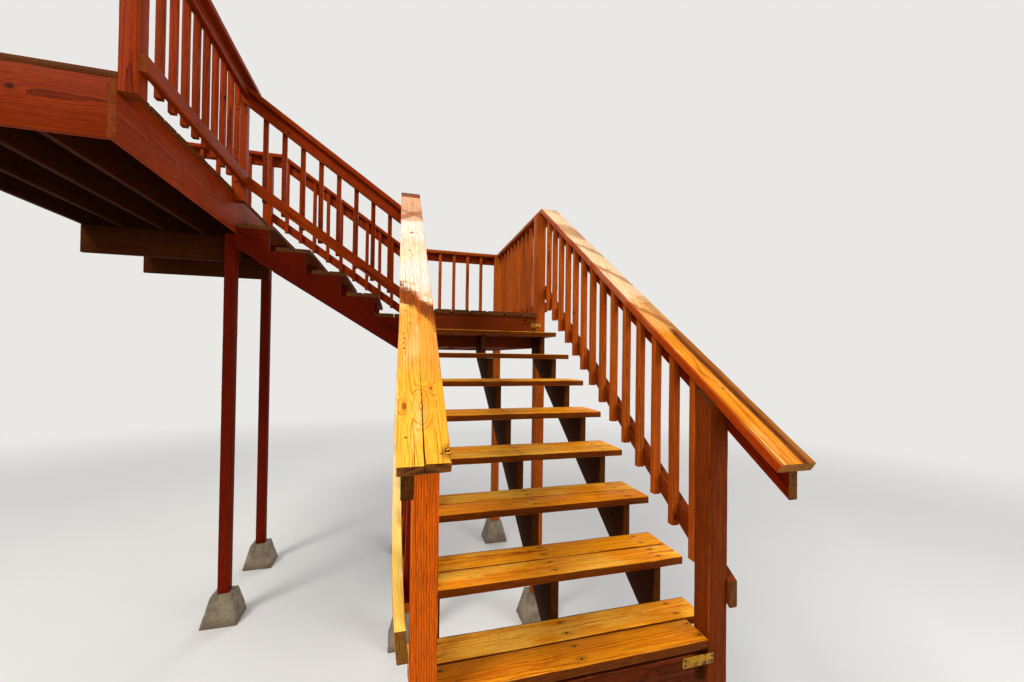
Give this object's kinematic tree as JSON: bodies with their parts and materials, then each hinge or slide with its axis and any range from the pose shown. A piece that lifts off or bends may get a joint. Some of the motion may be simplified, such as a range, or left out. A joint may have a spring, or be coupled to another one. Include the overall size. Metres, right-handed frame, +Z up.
{
  "type": "wooden deck stairs",
  "caption": "Stained wooden deck stairs: an open flight up to a landing, a turned upper flight and a bay of the deck it reaches, with baluster guards, on posts and pier blocks.",
  "frame": {"origin": "middle of the overall box, on the floor under the foot posts and pier blocks", "axes": "+X right across the lower flight, +Y up the lower flight towards the landing, +Z up"},
  "size_m": [4.0114, 4.4938, 4.728],
  "materials": {
    "orange_wood": "worn transparent orange stain over sawn grain",
    "red_wood": "red stain over sawn grain",
    "brown_wood": "dark brown stain",
    "golden_wood": "worn golden stain with weathered streaks",
    "bleached_wood": "bleached and checked, with worn stain",
    "zinc": "yellow zinc plating",
    "concrete": "cast concrete"
  },
  "bodies": {
    "root": {"lower_stringer_left": "brown_wood", "lower_stringer_middle": "brown_wood", "lower_stringer_right": "brown_wood", "lower_tread_1": "orange_wood", "lower_tread_2": "orange_wood", "lower_tread_3": "orange_wood", "lower_tread_4": "orange_wood", "lower_tread_5": "orange_wood", "lower_tread_6": "orange_wood", "lower_tread_7": "orange_wood", "lower_tread_8": "orange_wood", "bottom_riser": "orange_wood", "strap_ties": "zinc", "foot_posts": "orange_wood", "landing_posts": "orange_wood", "pier_blocks": "concrete", "landing_frame": "brown_wood", "landing_decking": "golden_wood", "lap_boards": "golden_wood", "upper_stringer_near": "brown_wood", "upper_stringer_middle": "brown_wood", "upper_stringer_far": "brown_wood", "upper_tread_1": "orange_wood", "upper_tread_2": "orange_wood", "upper_tread_3": "orange_wood", "upper_tread_4": "orange_wood", "deck_posts": "red_wood", "deck_beams": "red_wood", "deck_frame": "orange_wood", "deck_decking": "golden_wood", "deck_newels": "red_wood", "lower_guard_left": "red_wood", "lower_guard_right": "orange_wood", "lower_cap_left": "bleached_wood", "lower_cap_right": "golden_wood", "landing_guard_left": "red_wood", "landing_guard_right": "orange_wood", "landing_guard_far": "orange_wood", "landing_caps": "orange_wood", "upper_guard_near": "red_wood", "upper_guard_far": "red_wood", "upper_caps": "red_wood", "deck_guard_side": "red_wood", "deck_guard_far": "red_wood", "deck_caps": "red_wood"}
  },
  "joints": []
}
